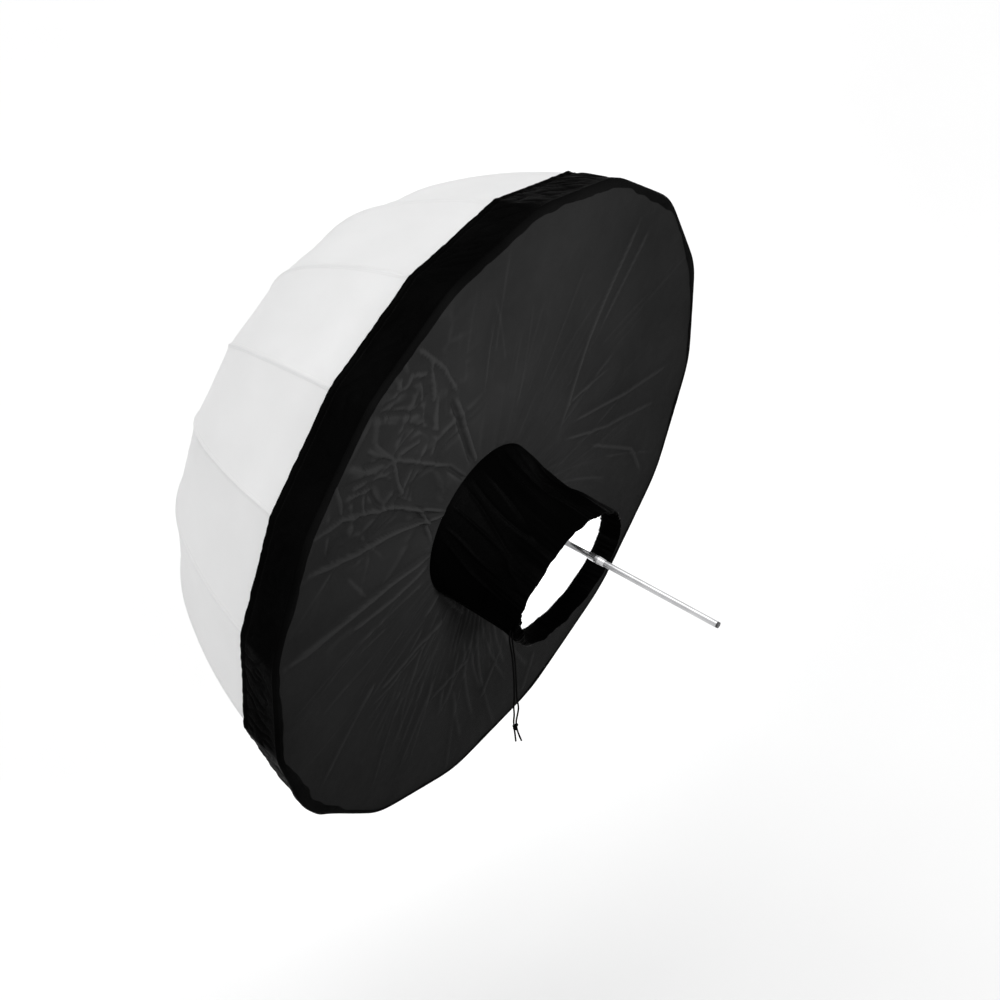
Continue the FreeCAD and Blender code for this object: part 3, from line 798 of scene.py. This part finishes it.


# The mask for the face's painted sheen highlight on its fold tops.
def ridges(height):
    """How far the fabric stands proud of what is round it, as a share of 1.2 mm and at most 0.6."""
    around = sum(np.roll(height, step, axis) for step in (-4, -2, 2, 4) for axis in (0, 1)) / 8
    return np.clip((height - around) / 1.2, 0, 0.6)


def face_rows():
    """The flat face from the sleeve's hole to the rim, each row's share of the way, each column's angle."""
    outer = grown(rim_ring(RIM_ROUND), -FACE_INSET)
    turn = np.arctan2(outer[:, 1] - SLEEVE_CENTRE[1], outer[:, 0] - SLEEVE_CENTRE[0])
    hole = oval(SLEEVE_CENTRE, (SLEEVE_R, SLEEVE_R), turn)
    shares = np.linspace(0, 1, 150) ** 1.1
    edge_y = RIM_Y - 1.8 * MM
    rows = [level(hole + (outer - hole) * share, SLEEVE_Y + (edge_y - SLEEVE_Y) * share) for share in shares]
    return np.array(rows), shares[:, None], turn[None, :]


def long_folds(out, s, turn):
    """The random folds on the face, in mm, by distance from the sleeve's middle in mm, share and angle."""
    height = np.zeros_like(out)
    for angle, start, end, width, tall, drift in random_folds(190, 5):
        away = turned_from(turn, angle + drift * s)
        window = smooth_step(s, start, start + 0.06) * (1 - smooth_step(s, end - 0.12, end))
        # one side of a fold is steeper than the other
        d = away * out / (width * np.where(away > 0, 0.75, 1.35))
        height += tall * np.exp(-d * d) * window
    return height


def crumpled_patch(x, z):
    """The crumpled patch above the sleeve, on its -X side, in mm."""
    patch = np.clip(1.7 * bump_at(x, -0.19, 0.12) * bump_at(z, 0.22, 0.14), 0, 1)
    crumpled = 3.0 * facets(x * 13, z * 13, 1) + 1.5 * noise_at(x * 16, 0.4, z * 16, 27)
    for line, width, tall in crumple_lines(36, 3):
        crumpled += standing_fold(x / MM, z / MM, line, width, tall)
    return patch * crumpled


def face_height(x, z, s, turn):
    """How far the face's folds and creases stand out, in mm."""
    height = long_folds(np.hypot(x - SLEEVE_CENTRE[0], z - SLEEVE_CENTRE[1]) / MM, s, turn)
    for line, width, tall in STANDING_FOLDS:
        height += FOLD_SCALE * standing_fold(x / MM, z / MM, line, width, tall)
    cx, cz = np.cos(turn) + 0 * s, np.sin(turn) + 0 * s
    lower_half = smooth_step(-cz, -0.3, 0.5)
    round_sleeve = 1.1 * np.exp(-7 * s) * (0.15 + 0.85 * lower_half) + 0.05
    height += creases(cx * 30, s * 2.0, cz * 30, 22) ** 2 * round_sleeve
    height += noise_at(cx * 7, s * 1.5, cz * 7, 23) * (1.6 * np.exp(-1.5 * s) + 0.5)
    return height + crumpled_patch(x, z) + 0.10 * creases(x * 30, 1.4, z * 30, 26)


def face_lining(grid):
    """The face's white inner side, a little behind the points of its outer side."""
    inner = grid[4:-12:3, ::3] + np.array([0, 3.5 * MM, 0])
    inner[..., 1] = np.maximum(inner[..., 1], SLEEVE_Y + 3.0 * MM)
    lining = skin("cover_face_inner_side", inner, np.array([0, 1, 0]), [LINING_NYLON], "back_cover",
                  closed=True)


def face():
    """The flat panel over the rim, drawn to the sleeve by straight folds, with a crumpled patch."""
    grid, s, turn = face_rows()
    height = face_height(grid[..., 0], grid[..., 2], s, turn)
    edge = smooth_step(1 - s, 0.0, 0.035) * smooth_step(s, 0.0, 0.015)
    hollow = 3.0 * np.sin(np.pi * s) ** 2
    grid[..., 1] -= (height * edge - hollow) * MM
    panel = skin("cover_face", grid, np.array([0, -1, 0]), [FACE_NYLON], "back_cover", closed=True)
    # the tops of the folds, where the face's material paints a sheen highlight
    record_on(panel, "ridge", ridges(height) * edge)
    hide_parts("panel_face")
    face_lining(grid)


SLEEVE_LENGTH = SLEEVE_Y - MOUTH_Y
HEM_SHARE = HEM / SLEEVE_LENGTH
SLEEVE_COLUMNS = 420


def sleeve_folds(s, a):
    """How far the sleeve's folds, gathers and dents stand out, in mm, by share of its length and angle."""
    x, z = np.cos(a) + 0 * s, np.sin(a) + 0 * s
    turn = turned_from(a, math.radians(44))
    dent = 11.0 * bump_at(turn, 0, 0.42) * bump_at(s, 0.44, 0.24)
    dent += 4.0 * bump_at(turn, -0.45, 0.16) * bump_at(s, 0.70, 0.12)
    dent -= 3.0 * bump_at(turn, -0.14, 0.10) * bump_at(s, 0.66, 0.16)
    dent += 5.0 * bump_at(turn, 0.20, 0.12) * bump_at(s, 0.72, 0.16)
    waist = 3.5 * np.sin(np.pi * s)
    drape = noise_at(x * 2.2 + s, s * 1.6, z * 2.2, 30) * 4.0 * np.sin(np.pi * s)
    along = creases(x * 5 + s * 0.8, s * 0.7, z * 5 - s * 0.5, 33) ** 3 * 2.2 * np.sin(np.pi * s) ** 0.7
    gather = noise_at(x * 7, s * 0.8, z * 7, 31) * 2.2 * s ** 2
    tucks = noise_at(x * 22, s * 1.0, z * 22, 32) * 1.2 * smooth_step(s, 0.5, 1.0)
    return (along + gather + tucks + drape - waist - dent) * smooth_step(s, 0.0, 0.10)


def sleeve_wall():
    """The sleeve's outer side, from its seam on the face to the lip: points, normals, angles and outside."""
    t = np.arange(SLEEVE_COLUMNS) * math.tau / SLEEVE_COLUMNS
    shares = np.linspace(0, 1, 90)
    base, mouth = oval(SLEEVE_CENTRE, (SLEEVE_R, SLEEVE_R), t), oval(MOUTH_CENTRE, MOUTH_HALF, t)
    rows = [level(base + (mouth - base) * share, SLEEVE_Y - SLEEVE_LENGTH * share) for share in shares]
    grid = np.array(rows)
    outside = np.stack([np.cos(t), 0 * t, np.sin(t)], 1)[None] + 0 * grid
    s, a = shares[:, None], t[None, :]
    grid = grid + (sleeve_folds(s, a) * MM)[..., None] * outward_normals(grid, True, outside)
    # the lip isn't level: it stands out further at some tucks, and most on the upper side
    x, z = np.cos(a) + 0 * s, np.sin(a) + 0 * s
    upper = turned_from(a, math.radians(130))
    lip = noise_at(x * 6, 0.2, z * 6, 34) * 2.4 + 4.5 * bump_at(upper, 0, 0.8)
    grid[..., 1] -= lip * MM * smooth_step(s, 0.6, 1.0)
    return grid, outward_normals(grid, True, outside), t, outside


def wrinkled(grid, angle, black_rows):
    """The sleeve with its white inner side wrinkled, more and more over the rows after the black ones."""
    depth = np.clip((np.arange(len(grid)) - black_rows) / 8, 0, 1)[:, None]
    x, z = (np.broadcast_to(part, grid.shape[:2]) for part in (np.cos(angle), np.sin(angle)))
    wrinkles = 1.8 * creases(x * 4, depth + grid[..., 1] * 22, z * 4, 36) ** 2
    wrinkles += 2.2 * (1 + noise_at(x * 3, grid[..., 1] * 16, z * 3, 37))
    inward = (grid.mean(axis=1, keepdims=True) - grid) * np.array([1, 0, 1])
    inward /= np.maximum(np.linalg.norm(inward, axis=2, keepdims=True), 1e-9)
    return grid + inward * (wrinkles * depth * MM)[..., None]


def sleeve():
    """A soft tube with a drawn hem turned in round its mouth, white on its inner side."""
    wall, normals, angle, outside = sleeve_wall()
    last = len(wall) - 1
    # the hem is thicker where the drawcord leaves it, because the cloth is bunched up there
    bunched = 10.0 * bump_at(turned_from(angle, math.pi), 0.10, 0.42)[:, None]

    def inside(share, depth):
        """A row below the wall's surface at a share of its length. Past 1 it stands out of the mouth."""
        place = min(share, 1.0) * last
        low, part = int(place), place - int(place)
        high = min(low + 1, last)
        row = wall[low] * (1 - part) + wall[high] * part
        normal = normals[low] * (1 - part) + normals[high] * part
        beyond = max(share - 1.0, 0) * SLEEVE_LENGTH
        thick = depth + bunched * smooth_step(share, 0.55, 0.95) * smooth_step(depth, 0.8, 4.0)
        return row - normal * thick * MM - np.array([0, beyond, 0])

    lip = [(1.006, 0.5), (1.014, 1.5), (1.016, 2.6), (1.010, 3.6), (1.0, 4.1)]
    hem = [(1 - HEM_SHARE * part, 4.2 - 0.5 * part ** 3) for part in np.linspace(0.1, 1, 12)]
    turned_in = [(1 - HEM_SHARE * 1.02, 3.0), (1 - HEM_SHARE * 1.01, 1.6)]
    lining = [(share, 1.0) for share in np.linspace(1 - HEM_SHARE * 1.03, 0.03, 52)]
    under = lip + hem + turned_in + lining
    black_rows = len(wall) + len(under) - len(lining) - 1
    grid = wrinkled(np.array([*wall, *(inside(*place) for place in under)]), angle, black_rows)
    reference = np.zeros_like(grid)
    reference[:len(wall)] = outside
    tube = skin("cover_sleeve", grid, reference, [SLEEVE_NYLON, LINING_NYLON], "back_cover", closed=True,
                rows_of_second=black_rows)
    # stitches at the hem's edge and beside the seam on the face
    shares = np.array([*np.linspace(0, 1, len(wall)), *(share for share, _ in under)])
    sewn = np.minimum(np.abs(shares - (1 - HEM_SHARE * 0.93)), np.abs(shares - 0.04)) * SLEEVE_LENGTH
    record_on(tube, "across", np.broadcast_to(sewn[:, None], grid.shape[:2]))
    record_on(tube, "along", np.broadcast_to(angle * SLEEVE_R, grid.shape[:2]))
    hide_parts("panel_sleeve", "sleeve_hem", "drawcord_loop")


skirt()
face()
sleeve()


# ---- materials of the CAD parts that stay ----

def finish_cad_parts():
    finishes = {"shaft": SHAFT_STEEL, "stop_ferrule": SHAFT_STEEL}
    finishes |= dict.fromkeys(("crown_hub", "crown_cap", "runner", "shaft_plug"), HUB_PLASTIC)
    for name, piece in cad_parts.items():
        piece.data.materials.clear()
        piece.data.materials.append(finishes.get(name, FRAME_STEEL))


finish_cad_parts()


# ---- floor and light ----

def lamp(name, place, size, power, aim=(0, RIM_Y, 0), spread=180):
    light = bpy.data.lights.new(name, "AREA")
    light.size = size
    light.energy = power
    light.spread = math.radians(spread)
    stand = bpy.data.objects.new(name, light)
    scene.collection.objects.link(stand)
    stand.location = place
    stand.rotation_mode = "QUATERNION"
    stand.rotation_quaternion = (Vector(aim) - Vector(place)).to_track_quat("-Z", "Y")


FLOOR_HALF = 12.0
FLOOR_Z = -0.95
WORLD_LIGHT = 0.90


def floor():
    n = Nodes("pale_floor")
    n.link(n.ramp(n.noise(2.0, 3), [(0.3, grey(0.94)), (0.7, grey(0.96))]), n.shader.inputs["Base Color"])
    n.set(Roughness=0.9, Specular_IOR_Level=0.0)
    mesh = bpy.data.meshes.new("floor")
    corners = [(x * FLOOR_HALF, y * FLOOR_HALF, FLOOR_Z) for x, y in ((-1, -1), (1, -1), (1, 1), (-1, 1))]
    mesh.from_pydata(corners, [], [(0, 1, 2, 3)])
    mesh.materials.append(n.material)
    sheet = bpy.data.objects.new("floor", mesh)
    scene.collection.objects.link(sheet)


def lights():
    world = bpy.data.worlds.new("studio")
    scene.world = world
    world.use_nodes = True
    world.node_tree.nodes["Background"].inputs["Color"].default_value = (1, 1, 1, 1)
    world.node_tree.nodes["Background"].inputs["Strength"].default_value = WORLD_LIGHT
    lamp("key", (-0.3, -0.75, 0.75), size=0.4, power=4.9, aim=(0.05, RIM_Y, 0.17), spread=56)
    lamp("overhead", (0.5, 1.2, 4.2), size=3.0, power=54)


floor()
lights()
scene.view_settings.view_transform = "Standard"
